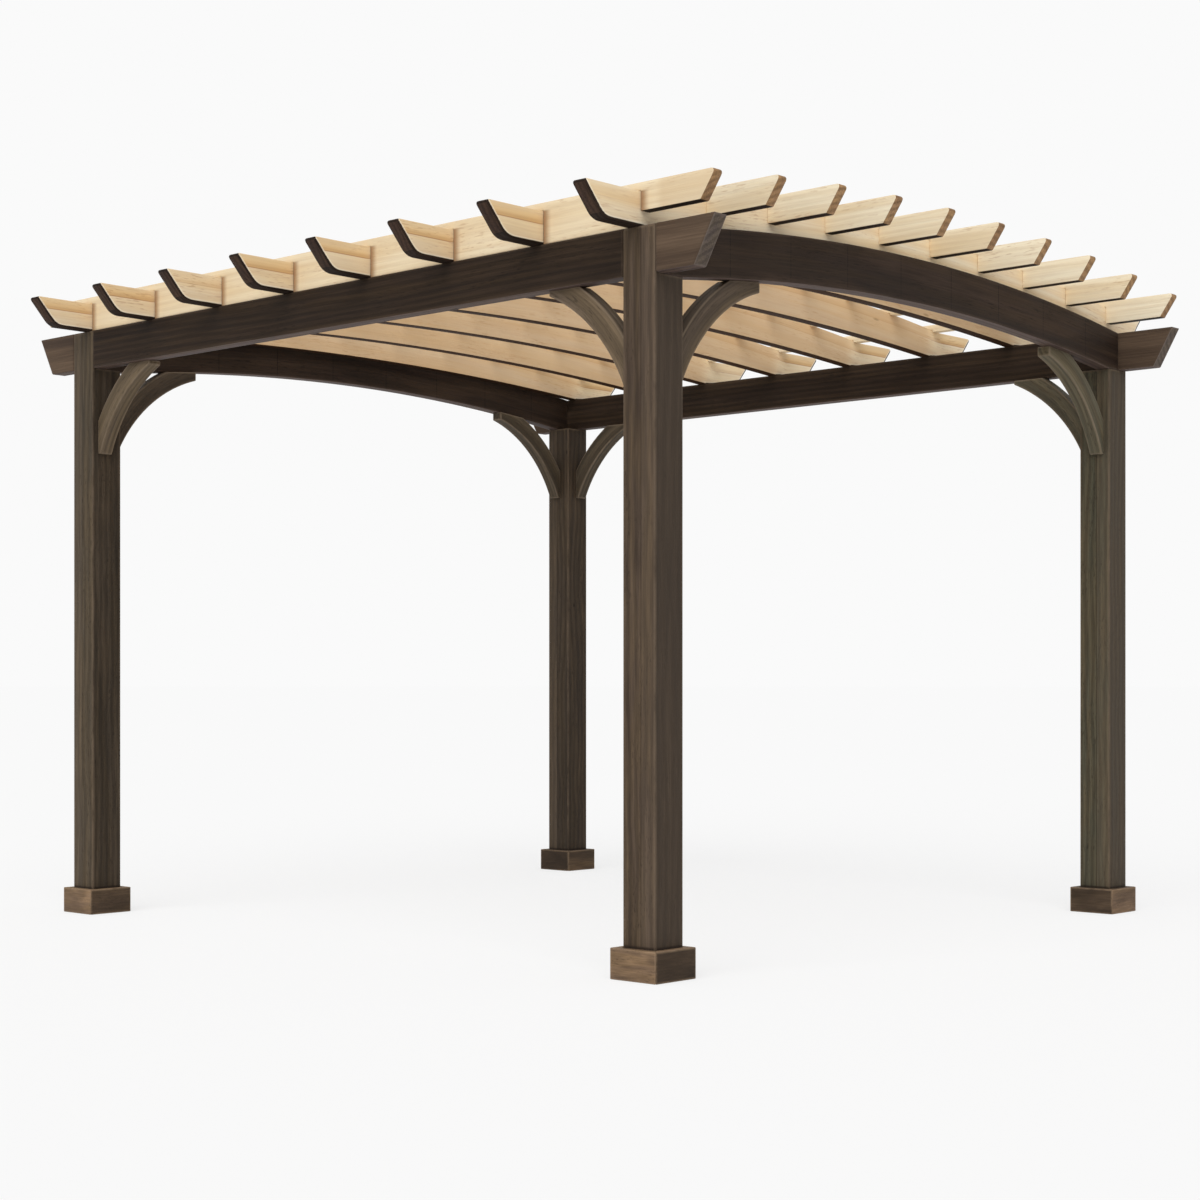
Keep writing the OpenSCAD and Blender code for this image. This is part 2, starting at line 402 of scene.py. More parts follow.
def laminated(tree, colour, board, band, line):
    """A warm layer above a glue line, strong on the tails and weak on the palest boards."""
    place = {0: carried(tree, "grain", "Vector")}
    depth = product(grow("ShaderNodeSeparateXYZ", place).outputs["Z"], -1.0)
    strength = spread(from_middle(tree, "X"), *band_zone, 0.35, 0.9)
    strength = product(strength, spread(board, 0.0, 0.2, 0.15, 1.0))
    upper = spread(depth, glue_depth + 0.001, glue_depth - 0.001)
    deeper = spread(depth, 0.0, glue_depth, 0.5, 1.0)
    colour = tinted(product(upper, deeper, strength), colour, band)
    away = joined("SUBTRACT", glue_depth, depth)
    glue = spread(unsigned(away), 0.0026, 0.0008)
    colour = tinted(product(glue, strength), colour, line, 0.8)
    above = unsigned(joined("SUBTRACT", away, 0.006))
    above = product(spread(above, 0.009, 0.0), strength)
    return tinted(above, colour, line, 0.35)


def natural_timber(name, pale, warm, line, band=None, marks=None, sheen=0.25):
    """Clear-finished light wood. With a band colour it is laminated."""
    material, tree, grain = start_timber(name)
    colour = tinted(grain["Streak"], warm, pale)
    board = carried(tree, "board_tone", "Fac")
    colour = tinted(board, colour, warm, 0.4)
    if band:
        colour = laminated(tree, colour, board, band, line)
    for mask, share in wood_marks.items():
        colour = tinted(grain[mask], colour, line, share)
    colour = tinted(grain["Knot"], colour, darker(line, 0.6), 0.6)
    if marks:
        colour = marks(tree, grain, colour)
    end_timber(tree, grain, colour, wood_roughness, wood_relief, sheen)
    return material


print("stain masks", sorted(stain_marks), "wood masks", sorted(wood_marks))

# %% [markdown]
# ## Marks of place, with painted light and shade
# Some marks belong to places on the pergola and not to the grain. The posts are glued from two boards
# and get painted shade just above their trim. The beams' tails get painted light, paler than the span
# under the rafters. The arched beams are glued up from short lengths, with an upright joint under every
# slat. The rafters get painted shade inside, under the roof, and the left slat gets painted shade on its
# outer face in the corner beside every rafter.

# %% Write the marks
rafter_names = ["rafter_%d" % i for i in range(1, 9)]
slat_names = ["slat_%d" % i for i in range(1, 11)]
rafter_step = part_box("rafter_2")[0].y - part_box("rafter_1")[0].y
slat_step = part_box("slat_2")[0].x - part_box("slat_1")[0].x
beam_low, beam_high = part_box("straight_beam_left")
headroom = beam_low.z
beam_top = beam_high.z
rafter_low, rafter_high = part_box("rafter_1")
roof_rise = 0.080
back_spring = rafter_high.z - roof_rise
rafter_cut = 0.085
bow_smoothing = 0.0325
belly_rise = 0.048
belly_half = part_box("arched_beam_front")[1].x
trim_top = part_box("base_trim_front_left")[1].z
seam_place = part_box("post_back_left")[0].y + 0.068
# Distances from the middle between which a mark grows to its full strength
tail_light_zone = 1.28, 1.44
rafter_shade_zone = 1.3, 1.2
slat_tail_zone = 1.4, 1.44
left_face_zone = -1.27, -1.29
# Width and softness of a band of painted shade, its colour, and how much it covers
corner_shade_bands = (0.003, 0.034, (146, 104, 68), 0.85), (0.002, 0.002, (84, 56, 38), 0.7)


def even_bands(tree, axis, start, step, width, soft, back=False):
    """A mask of bands that begin at evenly spaced places along an axis."""
    ends = [place_along(tree, axis), start]
    if back:
        ends.reverse()
    away = joined("FLOORED_MODULO", joined("SUBTRACT", *ends), step)
    return spread(away, width + soft, width)


def seam_and_trim_shade(tree, grain, colour):
    """A fine dark seam down two faces of a post, a paler board beyond it, and painted shade just above
    the trim.
    """
    away = joined("SUBTRACT", from_middle(tree, "Y"), seam_place)
    beyond = spread(away, -0.0005, 0.0005)
    colour = tinted(beyond, colour, (124, 108, 92), 0.16)
    seam = spread(unsigned(away), 0.0022, 0.0007)
    # Painted shade in a narrow band just above the trim
    foot = spread(place_along(tree, "Z"), trim_top + 0.011, trim_top + 0.003)
    dark = joined("MAXIMUM", product(seam, 0.6), product(foot, 0.8))
    return tinted(dark, colour, (38, 30, 25))


def beam_tails_painted_light(tree, grain, colour):
    """Painted light: paler where the straight beams run out past the posts, out of the rafter tails'
    shade.
    """
    # Painted light on the beams' tails, which lie beyond the last rafter
    pale = spread(from_middle(tree, "Y"), *tail_light_zone)
    board = tinted(grain["Streak"], (76, 61, 50), (120, 100, 82))
    board = tinted(grain["Fibre"], board, (62, 49, 40), 0.45)
    return tinted(pale, colour, board, 0.75)


def glued_joints(tree, grain, colour):
    """Thin dark uprights, broken by the fibres, under every slat."""
    line = even_bands(tree, "X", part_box("slat_1")[1].x, slat_step, 0.0018, 0.0016)
    broken = spread(grain["Fibre"], 0.15, 0.6, 0.3, 0.9)
    return tinted(product(line, broken), colour, (24, 18, 15))


def above_outline(tree):
    """Distance of a point on a rafter's side from its bottom edge or its end cut."""
    out = from_middle(tree, "X")
    height = place_along(tree, "Z")
    share = joined("DIVIDE", out, belly_half)
    share = joined("SUBTRACT", 1.0, product(share, share))
    belly = product(joined("MAXIMUM", share, 0.0), belly_rise)
    low = joined("SUBTRACT", joined("SUBTRACT", height, beam_top), belly)
    depth = back_spring - beam_top
    length = math.hypot(depth, rafter_cut)
    along = product(joined("SUBTRACT", rafter_high.x, out), depth / length)
    under = product(joined("SUBTRACT", back_spring, height), rafter_cut / length)
    nearest = {0: low, 1: joined("SUBTRACT", along, under), 2: bow_smoothing}
    return grow("ShaderNodeMath", nearest, operation="SMOOTH_MIN").outputs[0]


def rafter_shade_and_highlight(tree, grain, colour):
    """Painted shade inside, a dark band along the bottom edge and end cut, and a painted highlight beside
    it.
    """
    # Painted shade on the rafters inside the roof, at half strength, kept off the outer faces of the end
    # rafters
    inside = spread(from_middle(tree, "X"), *rafter_shade_zone)
    outer_face = -rafter_low.y
    shade_share = spread(from_middle(tree, "Y"), outer_face, outer_face - 0.004, 0.0, 0.5)
    colour = tinted(product(inside, shade_share), colour, (208, 166, 118))
    rim = above_outline(tree)
    # Painted highlight: a pale line beside the dark band, on the tails only
    pale = joined("SUBTRACT", spread(rim, 0.0125, 0.009), inside)
    colour = tinted(joined("MAXIMUM", pale, 0.0), colour, (252, 240, 218), 0.6)
    uneven = product(grain["Fibre"], 0.0012)
    thinner = joined("ADD", uneven, product(inside, 0.01))
    dark = spread(joined("ADD", rim, thinner), 0.0078, 0.0066)
    return tinted(dark, colour, (36, 27, 23))


def slat_tail_and_corner_shade(tree, grain, colour):
    """A deeper tail on the left slat, and painted shade on its outer face beside every rafter."""
    outer = spread(place_along(tree, "X"), *left_face_zone)
    tail = product(spread(from_middle(tree, "Y"), *slat_tail_zone), outer)
    colour = tinted(tail, colour, (214, 186, 146), 0.5)
    # Painted shade in the corners beside the rafters, below the rafters' backs
    under = spread(place_along(tree, "Z"), back_spring + 0.004, back_spring - 0.003)
    outer = product(outer, under)
    for width, soft, shade_colour, share in corner_shade_bands:
        band = even_bands(tree, "Y", rafter_low.y, rafter_step, width, soft, back=True)
        colour = tinted(product(band, outer), colour, shade_colour, share)
    return colour


print("roof springs at", round(back_spring, 4), "and rises", roof_rise)

# %% [markdown]
# ## The colours of this pergola
# Posts, trim, beams and braces are stained in browns of their own. Some faces get a finish apart from
# the rest of their timber: the dark undersides and end cuts of the rafters, the brown ends of the
# slats, the grey ends of the straight beams, and the undersides of the beams, painted paler as light from
# the floor.

# %% Mix the finishes
# Dark and light streaks, the tint of some boards, worn arrises, marks, and the share kept under painted
# shade by face
stains = {
    "stained_post": ((70, 57, 47), (104, 88, 74), (87, 86, 70), (116, 100, 84), seam_and_trim_shade),
    "stained_trim": ((112, 91, 73), (160, 132, 107), (118, 98, 80), (160, 136, 111), None, 0.48),
    "stained_beam": ((40, 30, 24), (64, 51, 41), (46, 36, 29), (80, 66, 54), beam_tails_painted_light),
    "stained_arch": ((47, 36, 30), (71, 57, 48), (52, 41, 34), (84, 70, 60), glued_joints),
    "stained_brace": ((96, 82, 69), (128, 111, 94), (99, 97, 80), (140, 124, 106)),
    "dark_edge": ((42, 31, 26), (62, 48, 41), (48, 37, 31), (72, 57, 48)),
    "tail_end": ((62, 46, 39), (86, 66, 56), (68, 52, 44), (52, 39, 33)),
    "beam_end": ((96, 84, 77), (114, 102, 94), (100, 89, 82), (124, 112, 104)),
    # Painted light: the beams' undersides, paler as if the floor lit them
    "lit_soffit": ((88, 72, 67), (112, 95, 89), (94, 79, 74), (120, 104, 98)),
    "slat_end": ((164, 126, 92), (192, 154, 116), (172, 134, 98), (206, 170, 130)),
}
# Pale and warm streaks, lines, the warm layer of a laminated board, marks, and sheen
woods = {
    "natural_rafter": ((252, 239, 212), (242, 216, 172), (178, 126, 82), (234, 196, 136), rafter_shade_and_highlight),
    "natural_slat": ((252, 241, 214), (237, 216, 178), (178, 134, 92), None, slat_tail_and_corner_shade),
    "shaded_under": ((74, 52, 37), (58, 40, 29), (40, 28, 21), None, None, 0.02),
}
finishes = {name: stained_timber(name, *mix) for name, mix in stains.items()}
finishes.update({name: natural_timber(name, *mix) for name, mix in woods.items()})
print("finishes", sorted(finishes))

# %% [markdown]
# ## Modelling tools
# Each timber starts as a block at its size and place, or as a flat grid that is bent to an outline.
# The helpers below do what a hand does in edit mode: pick faces by their place, push, cut with a
# plane, cut away with another block, and ease the edges. The easing welds points that fall together
# and writes the arris mask: the faces beside each rounded edge are inset once, and the mask fades
# across that narrow band.

# %% Write the modelling tools
weld_gap = 0.00002
sharp_turn = math.radians(35)
smooth_turn = math.radians(40)
# Steps from one board to the next, along the grain and in tint
grain_step = 7.31
tint_step = 0.618
board_count = 0


def take(piece):
    """Makes the piece the active one and the only one selected."""
    bpy.ops.object.select_all(action="DESELECT")
    piece.select_set(True)
    bpy.context.view_layer.objects.active = piece


def open_piece(piece, mode="FACE", action="DESELECT"):
    """Opens the piece in edit mode with nothing selected, or all of it."""
    take(piece)
    bpy.ops.object.mode_set(mode="EDIT")
    bpy.ops.mesh.select_mode(type=mode)
    bpy.ops.mesh.select_all(action=action)


def close_piece():
    """Leaves edit mode."""
    bpy.ops.object.mode_set(mode="OBJECT")


def add_block(low, high):
    """A cube at the size and place of two opposite corners, with its place in its mesh."""
    low, high = Vector(low), Vector(high)
    bpy.ops.mesh.primitive_cube_add(size=1.0, location=(low + high) / 2)
    block = bpy.context.object
    block.scale = high - low
    bpy.ops.object.transform_apply(location=True, rotation=True, scale=True)
    return block


def pick(piece, mode, flags):
    """Opens the piece with the flagged faces or points selected."""
    open_piece(piece, mode)
    close_piece()
    parts = piece.data.polygons if mode == "FACE" else piece.data.vertices
    parts.foreach_set("select", flags)
    bpy.ops.object.mode_set(mode="EDIT")


def pick_faces(piece, chosen):
    """Opens the piece with the faces selected that chosen(centre, normal) accepts."""
    pick(piece, "FACE", [chosen(face.center, face.normal) for face in piece.data.polygons])


def pick_points(piece, chosen):
    """Opens the piece with the points selected that chosen(place) accepts."""
    pick(piece, "VERT", [chosen(point.co) for point in piece.data.vertices])


def slide_points(piece, chosen, by):
    """Moves the chosen points."""
    pick_points(piece, chosen)
    bpy.ops.transform.translate(value=by)
    close_piece()


def push_faces(piece, chosen, by):
    """Extrudes the chosen faces."""
    pick_faces(piece, chosen)
    bpy.ops.mesh.extrude_region_move(TRANSFORM_OT_translate={"value": by})
    close_piece()


def saw(piece, place, normal, drop=False):
    """Cuts the whole piece with a plane. With drop, what lies on the normal's side goes."""
    open_piece(piece, action="SELECT")
    bpy.ops.mesh.bisect(plane_co=place, plane_no=normal, use_fill=drop, clear_outer=drop)
    close_piece()


def cut_away(piece, cutters):
    """Cuts the cutters' shapes out of the piece and deletes the cutters."""
    for cutter in cutters:
        take(piece)
        cut = piece.modifiers.new("cut", "BOOLEAN")
        cut.operation = "DIFFERENCE"
        cut.solver = "EXACT"
        cut.object = cutter
        bpy.ops.object.modifier_apply(modifier=cut.name)
        bpy.data.objects.remove(cutter)


def write(mesh, name, values, kind="FLOAT", domain="POINT", key="value"):
    """Writes a value for every point or face into the mesh under a name."""
    made = mesh.attributes.get(name) or mesh.attributes.new(name, kind, domain)
    made.data.foreach_set(key, values)


def write_grain(mesh, places):
    """Writes a grain vector for every point into the mesh."""
    write(mesh, "grain", [v for place in places for v in place], "FLOAT_VECTOR", key="vector")


def kept_grain(mesh):
    """The grain vectors that a mesh carries."""
    flat = [0.0] * (3 * len(mesh.vertices))
    mesh.attributes["grain"].data.foreach_get("vector", flat)
    return [flat[i:i + 3] for i in range(0, len(flat), 3)]


def ease_edges(piece, radius, band=0.0):
    """Rounds every sharp edge, and writes the arris mask over a band beside the rounding."""
    mesh = piece.data
    while len(mesh.materials) < 2:
        mesh.materials.append(None)
    open_piece(piece, "EDGE")
    bpy.ops.mesh.edges_select_sharp(sharpness=sharp_turn)
    bpy.ops.mesh.bevel(offset=radius, segments=2, affect="EDGES", material=1, loop_slide=False)
    bpy.ops.mesh.select_all(action="SELECT")
    bpy.ops.mesh.remove_doubles(threshold=weld_gap)
    close_piece()
    if band:
        pick(piece, "FACE", [face.material_index == 0 for face in mesh.polygons])
        bpy.ops.mesh.inset(thickness=band, use_even_offset=True)
        close_piece()
        inner = {point for face in mesh.polygons if face.select for point in face.vertices}
        write(mesh, "arris", [0.0 if i in inner else 1.0 for i in range(len(mesh.vertices))])
    mesh.polygons.foreach_set("material_index", [0] * len(mesh.polygons))
    mesh.materials.clear()


def placed_copy(piece, move):
    """A copy with its own mesh, moved or mirrored, with its faces pointing outwards."""
    twin = piece.copy()
    twin.data = piece.data.copy()
    bpy.context.collection.objects.link(twin)
    twin.data.transform(move)
    if move.determinant() < 0:
        twin.data.flip_normals()
    return twin


def copies(model, moves):
    """A copy of the model for each named move, and the model itself deleted."""
    made = {name: placed_copy(model, move) for name, move in moves.items()}
    bpy.data.objects.remove(model)
    return made


def mirrored(across_x=False, across_y=False):
    """The mirror image across the middle planes."""
    signs = (-1 if across_x else 1, -1 if across_y else 1, 1, 1)
    return Matrix.Diagonal(signs)


def dress(piece, node, grain_at, finish, tone=None, sides=0.0, shade=0.0):
    """Writes the grain, the board's tints and painted shade by face into the mesh, and puts the piece in
    the node's place.
    """
    global board_count
    board_count += 1
    piece.name = node + "_timber"
    mesh = piece.data
    mesh.name = piece.name
    places = [grain_at(point.co) for point in mesh.vertices] if grain_at else kept_grain(mesh)
    shift = grain_step * board_count
    write_grain(mesh, [(along + shift, side, deep) for along, side, deep in places])
    own = (board_count * tint_step) % 1.0 if tone is None else tone
    write(mesh, "board_tone", [own] * len(mesh.vertices))
    # Painted shade by face: more on faces that look forwards or backwards, and some all round
    shades = [shade + abs(face.normal.y) * sides for face in mesh.polygons]
    write(mesh, "face_shade", shades, domain="FACE")
    mesh.materials.clear()
    mesh.materials.append(finishes[finish])
    take(piece)
    bpy.ops.object.shade_smooth_by_angle(angle=smooth_turn)
    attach(piece, "root")
    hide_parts(node)


def stain_faces(piece, finish, chosen):
    """Gives the faces that chosen(centre, normal) accepts another finish."""
    piece.data.materials.append(finishes[finish])
    last = len(piece.data.materials) - 1
    for face in piece.data.polygons:
        if chosen(face.center, face.normal):
            face.material_index = last


print("modelling tools ready")

# %% [markdown]
# ## Posts
# A post is a square timber whose head is cut away to a shoulder. The shoulder carries both beams,
# and a thin tongue is left standing at the outer face, which laps the straight beam. It is modelled
# as a block that is sawn through at the tongue, so that the tongue's share of the top can be
# pushed up. One post is modelled and the other three are its mirror images. Each has a tint of its
# own and painted shade on its front and back faces, and the far right one has painted shade all round.

# %% Model the four posts
tongue_thick = 0.022
post_streaks = 1.9
# Share of a face's normal along an axis, for faces that look squarely or mostly that way
squarely = 0.9
mostly = 0.5
corner_flips = {
    end + "_" + side: mirrored(across_x=side == "right", across_y=end == "back")
    for end in ("front", "back")
    for side in ("left", "right")
}
# Tint of the board, painted shade on its front and back faces, and painted shade all round
post_looks = {
    "front_left": (0.05, 2.0, 0.0),
    "front_right": (0.9, 1.4, 0.0),
    "back_left": (0.42, 1.3, 0.0),
    "back_right": (0.3, 0.3, 0.9),
}


def post_grain(point):
    """Grain up the post, in shorter streaks than along the roof."""
    return post_streaks * point.z, point.x, point.y


def model_post():
    """The front left post."""
    low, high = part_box("post_front_left")
    post = add_block(low, (high.x, high.y, headroom))
    lap = low.x + tongue_thick
    saw(post, (lap, 0.0, 0.0), (1.0, 0.0, 0.0))
    push_faces(post, lambda c, n: n.z > squarely and c.x < lap, (0.0, 0.0, beam_top - headroom))
    ease_edges(post, radius=0.0035, band=0.007)
    return post


for corner, post in copies(model_post(), corner_flips).items():
    dress(post, "post_" + corner, post_grain, "stained_post", *post_looks[corner])

# %% [markdown]
# ## Base trim
# Four boards box in the foot of each post, mitred at the corners, with their grain lying level. One
# board is a block whose inner face is made shorter at both ends, which gives the mitres. It is
# turned round the post three times, with a hair's breadth left open at each mitre, and the four
# boards are joined into one piece.

# %% Model the four base trims
mitre_gap = 0.0003
trim_streaks = 3.0
trim_grain_step = 1.7
# Tint of the board, painted shade on its front and back faces, less where it is negative, and painted
# shade all round
trim_looks = {
    "front_left": (0.0, 2.1, 0.0),
    "front_right": (0.2, -1.6, 2.0),
    "back_left": (0.4, 1.7, 0.0),
    "back_right": (0.6, -1.0, 2.3),
}


def model_trim():
    """Four mitred boards round the foot of the front left post."""
    low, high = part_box("base_trim_front_left")
    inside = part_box("post_front_left")[0].y
    centre = (low + high) / 2
    thick = inside - low.y
    shorter = Vector((mitre_gap, 0.0, 0.0))
    board = add_block(low + shorter, Vector((high.x, inside, high.z)) - shorter)
    halfway = low.y + thick / 2
    for end in (-1, 1):
        chosen = lambda p: p.y > halfway and end * (p.x - centre.x) > 0
        slide_points(board, chosen, (-end * thick, 0.0, 0.0))
    ease_edges(board, radius=0.0018, band=0.006)
    about = Matrix.Translation(centre)
    boards = []
    for quarter in range(4):
        turn = about @ Matrix.Rotation(quarter * math.pi / 2, 4, "Z") @ about.inverted()
        twin = placed_copy(board, turn)
        length, width = (0, 1) if quarter % 2 == 0 else (1, 0)
        start = trim_grain_step * quarter
        points = [point.co for point in twin.data.vertices]
        write_grain(twin.data, [(trim_streaks * p[length] + start, p[width], p.z) for p in points])
        boards.append(twin)
    bpy.data.objects.remove(board)
    take(boards[0])
    for twin in boards:
        twin.select_set(True)
    bpy.ops.object.join()
    return boards[0]


trim_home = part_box("base_trim_front_left")[0]
moves = {c: Matrix.Translation(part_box("base_trim_" + c)[0] - trim_home) for c in trim_looks}
for corner, trim in copies(model_trim(), moves).items():
    dress(trim, "base_trim_" + corner, None, "stained_trim", *trim_looks[corner])
print("trim boards", 4 * len(corner_flips))

# %% [markdown]
# ## Straight beams
# A straight beam lies on two posts along each side. Its ends run out past the posts as tails with a
# slanting cut, and its outer face is housed for the posts' tongues. It is a block whose lower corners
# slide inwards at both ends. The housings are cut away with two blocks. The ends are grey, and the
# underside is painted paler than the sides, as light from the floor.

# %% Model the two straight beams
beam_cut = 0.075
housing_gap = 0.0006
cut_past = 0.01
# Distance from the middle beyond which the end cuts of beams and slats lie
ends_from = 1.5


def model_straight_beam():
    """The left straight beam."""
    beam = add_block(beam_low, beam_high)
    middle = (beam_low.z + beam_high.z) / 2
    for end in (-1, 1):
        slide_points(beam, lambda p: p.z < middle and end * p.y > 0, (0.0, -end * beam_cut, 0.0))
    cutters = []
    for corner in ("front_left", "back_left"):
        low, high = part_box("post_" + corner)
        inner = low.x + tongue_thick + housing_gap
        start = low.x - cut_past, low.y - housing_gap, headroom - cut_past
        end = inner, high.y + housing_gap, beam_top + cut_past
        cutters.append(add_block(start, end))
    cut_away(beam, cutters)
    ease_edges(beam, radius=0.0035, band=0.006)
    return beam


def end_cut(centre, normal):
    """Faces at the ends of a beam or a slat."""
    return abs(normal.y) > mostly and abs(centre.y) > ends_from


flips = {"left": mirrored(), "right": mirrored(across_x=True)}
for side, beam in copies(model_straight_beam(), flips).items():
    dress(beam, "straight_beam_" + side, lambda p: (p.y, p.x, p.z), "stained_beam", 0.3)
    stain_faces(beam, "beam_end", end_cut)
    stain_faces(beam, "lit_soffit", lambda c, n: n.z < -squarely)
print("straight beams", round(beam_high.y - beam_low.y, 3), "long")

# %% [markdown]
# ## Arched beams
# An arched beam closes each end. Its underside is arched from post to post, and its top is bowed a
# little higher than the rafters, so that it hides the one behind it. A flat grid is bent to these
# outlines, column by column, and then pushed out to the beam's thickness, which keeps the curve smooth.
# The arched underside has the same painted light from the floor.

# %% Model the two arched beams
soffit_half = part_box("post_front_right")[0].x
soffit_rise = 0.078
soffit_steps = 76
end_steps = 2
back_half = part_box("post_front_right")[1].x


def arc_height(place, half, rise, spring):
    """Height of a flat arc that springs at half on both sides, and is level beyond."""
    radius = (half * half + rise * rise) / (2 * rise)
    inside = min(abs(place), half)
    return spring + rise - radius + math.sqrt(radius * radius - inside * inside)


def even_steps(start, end, count):
    """Places from start up to the end, without the end itself."""
    return [start + (end - start) * i / count for i in range(count)]


def bent_sheet(lower, upper, front, thick):
    """A grid bent between a lower and an upper outline in X and Z, and pushed out along Y."""
    columns = len(lower) - 1
    bpy.ops.mesh.primitive_grid_add(x_subdivisions=columns, y_subdivisions=1, size=1.0)
    sheet = bpy.context.object
    for point in sheet.data.vertices:
        column = round((point.co.x + 0.5) * columns)
        x, z = upper[column] if point.co.y > 0 else lower[column]
        point.co = (x, front, z)
    open_piece(sheet, action="SELECT")
    bpy.ops.mesh.extrude_region_move(TRANSFORM_OT_translate={"value": (0.0, thick, 0.0)})
    bpy.ops.mesh.select_all(action="SELECT")
    bpy.ops.mesh.normals_make_consistent(inside=False)
    close_piece()
    return sheet


def model_arched_beam():
    """The front arched beam."""
    low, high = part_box("arched_beam_front")
    half = high.x
    xs = even_steps(-half, -soffit_half, end_steps)
    xs += even_steps(-soffit_half, soffit_half, soffit_steps)
    xs += even_steps(soffit_half, half, end_steps) + [half]
    lower = [(x, arc_height(x, soffit_half, soffit_rise, headroom)) for x in xs]
    upper = [(x, arc_height(x, half, high.z - beam_top, beam_top)) for x in xs]
    beam = bent_sheet(lower, upper, low.y, high.y - low.y)
    ease_edges(beam, radius=0.0035, band=0.006)
    return beam


def back_height(x):
    """Height of the rafters' backs, which carry the slats."""
    return arc_height(x, back_half, roof_rise, back_spring)


def along_roof(point):
    """Grain vector that bends with the roof: along the arch, across it, and height from the back."""
    return point.x, point.y, point.z - back_height(point.x)


flips = {"front": mirrored(), "back": mirrored(across_y=True)}
for end, beam in copies(model_arched_beam(), flips).items():
    dress(beam, "arched_beam_" + end, along_roof, "stained_arch", 0.2)
    stain_faces(beam, "lit_soffit", lambda c, n: n.z < -mostly)

# %% [markdown]
# ## Knee braces
# Each corner has two braces: curved bands between post and beam, with blunt noses. A grid is bent
# between the lower arc and an upper outline, which runs up the post, round the upper arc and along the
# beam. Under a straight beam the seat is level. Under an arched beam it follows the soffit, and the
# brace reaches further. Each kind is modelled once and mirrored to the other corners.

# %% Model the eight braces
brace_centre = 0.530
brace_reach = 0.310
brace_seat = 0.190
brace_nose = 0.015
brace_low_r = math.hypot(brace_centre - brace_nose, brace_centre - brace_reach)
brace_high_r = math.hypot(brace_centre, brace_centre - brace_seat)
seat_gap = 0.0003
seat_search = 0.0002
seat_steps = 6
arc_steps = 28
# Tint of the boards, and painted shade on the brace under the arch and on the one at the side
brace_looks = {
    "front_left": (0.1, 0.0, 0.0),
    "front_right": (0.9, 0.0, 0.3),
    "back_left": (0.25, 1.7, 0.0),
    "back_right": (0.5, 1.3, 1.2),
}
swap = Matrix(((0, 1, 0, 0), (1, 0, 0, 0), (0, 0, 1, 0), (0, 0, 0, 1)))


def arc_point(radius, turn):
    """A point on a brace's arc, from the corner between post and beam."""
    return brace_centre + radius * math.cos(turn), radius * math.sin(turn) - brace_centre


def turn_at(radius, x=None, z=None):
    """The turn at which an arc reaches a place along the beam, or a depth below it."""
    if x is None:
        return math.pi - math.asin((z + brace_centre) / radius)
    return math.acos((x - brace_centre) / radius)


def between(start, end, count):
    """Places from start to end, with both."""
    return even_steps(start, end, count) + [end]


def model_brace(thick, reach, seat_height):
    """A brace in X and Z at the left post, with its seat at the given height along the beam."""
    low_turns = turn_at(brace_low_r, z=-brace_reach), turn_at(brace_low_r, x=reach)
    seat_x = reach
    while arc_point(brace_high_r, turn_at(brace_high_r, x=seat_x))[1] > seat_height(seat_x):
        seat_x -= seat_search
    high_turns = turn_at(brace_high_r, x=0.0), turn_at(brace_high_r, x=seat_x)
    upper = [(0.0, z) for z in even_steps(-brace_reach, -brace_seat, seat_steps)]
    upper += [arc_point(brace_high_r, turn) for turn in even_steps(*high_turns, arc_steps)]
    upper += [(x, seat_height(x)) for x in between(seat_x, reach, seat_steps)]
    lower = [arc_point(brace_low_r, turn) for turn in between(*low_turns, len(upper) - 1)]
    outlines = [[(x - soffit_half, headroom + z) for x, z in line] for line in (lower, upper)]
    brace = bent_sheet(*outlines, 0.0, thick)
    ease_edges(brace, radius=0.003, band=0.005)
    return brace


def brace_grain(middle, across):
    """Grain vector that runs round the brace's arcs, in the plane of X or of Y."""
    def at(point):
        reach = abs(point[across]) - middle
        height = point.z - (headroom - brace_centre)
        turn = math.atan2(height, -reach)
        return turn * brace_high_r, point[1 - across], math.hypot(reach, height)
    return at


def soffit_above(reach):
    """Height of the soffit above its ends, at a distance from the post."""
    return arc_height(soffit_half - reach, soffit_half, soffit_rise, 0.0) - seat_gap


arch_home, arch_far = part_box("arch_brace_front_left")
side_home, side_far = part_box("side_brace_front_left")
arch_model = model_brace(arch_far.y - arch_home.y, arch_far.x - arch_home.x, soffit_above)
side_model = model_brace(side_far.x - side_home.x, brace_reach, lambda reach: 0.0)
to_arch = Matrix.Translation((0.0, arch_home.y, 0.0))
to_side = Matrix.Translation((side_home.x, side_home.y + soffit_half, 0.0)) @ swap
arch_grain = brace_grain(soffit_half - brace_centre, 0)
side_grain = brace_grain(abs(side_home.y) - brace_centre, 1)
for corner, flip in corner_flips.items():
    tone, arch_shade, side_shade = brace_looks[corner]
    brace = placed_copy(arch_model, flip @ to_arch)
    dress(brace, "arch_brace_" + corner, arch_grain, "stained_brace", tone, shade=arch_shade)
    brace = placed_copy(side_model, flip @ to_side)
    dress(brace, "side_brace_" + corner, side_grain, "stained_brace", tone, shade=side_shade)
bpy.data.objects.remove(arch_model)
bpy.data.objects.remove(side_model)
print("brace arcs", round(brace_low_r, 3), round(brace_high_r, 3))

# %% [markdown]
# ## Rafters
# The rafters are laminated to the bow of the roof and end in level tails with a slanting cut, rounded
# below like a bow. They are deepest in the middle. Their sides and backs are light wood. The tails'
# undersides are dark, a little way round the arrises, their end cuts are a lighter brown, and the
# undersides between the beams are painted in deep shade. Like the arched beams they are a grid bent to
# its outlines, so that the grain can follow them. Near the tip the grid's columns keep clear of the
# rounding.

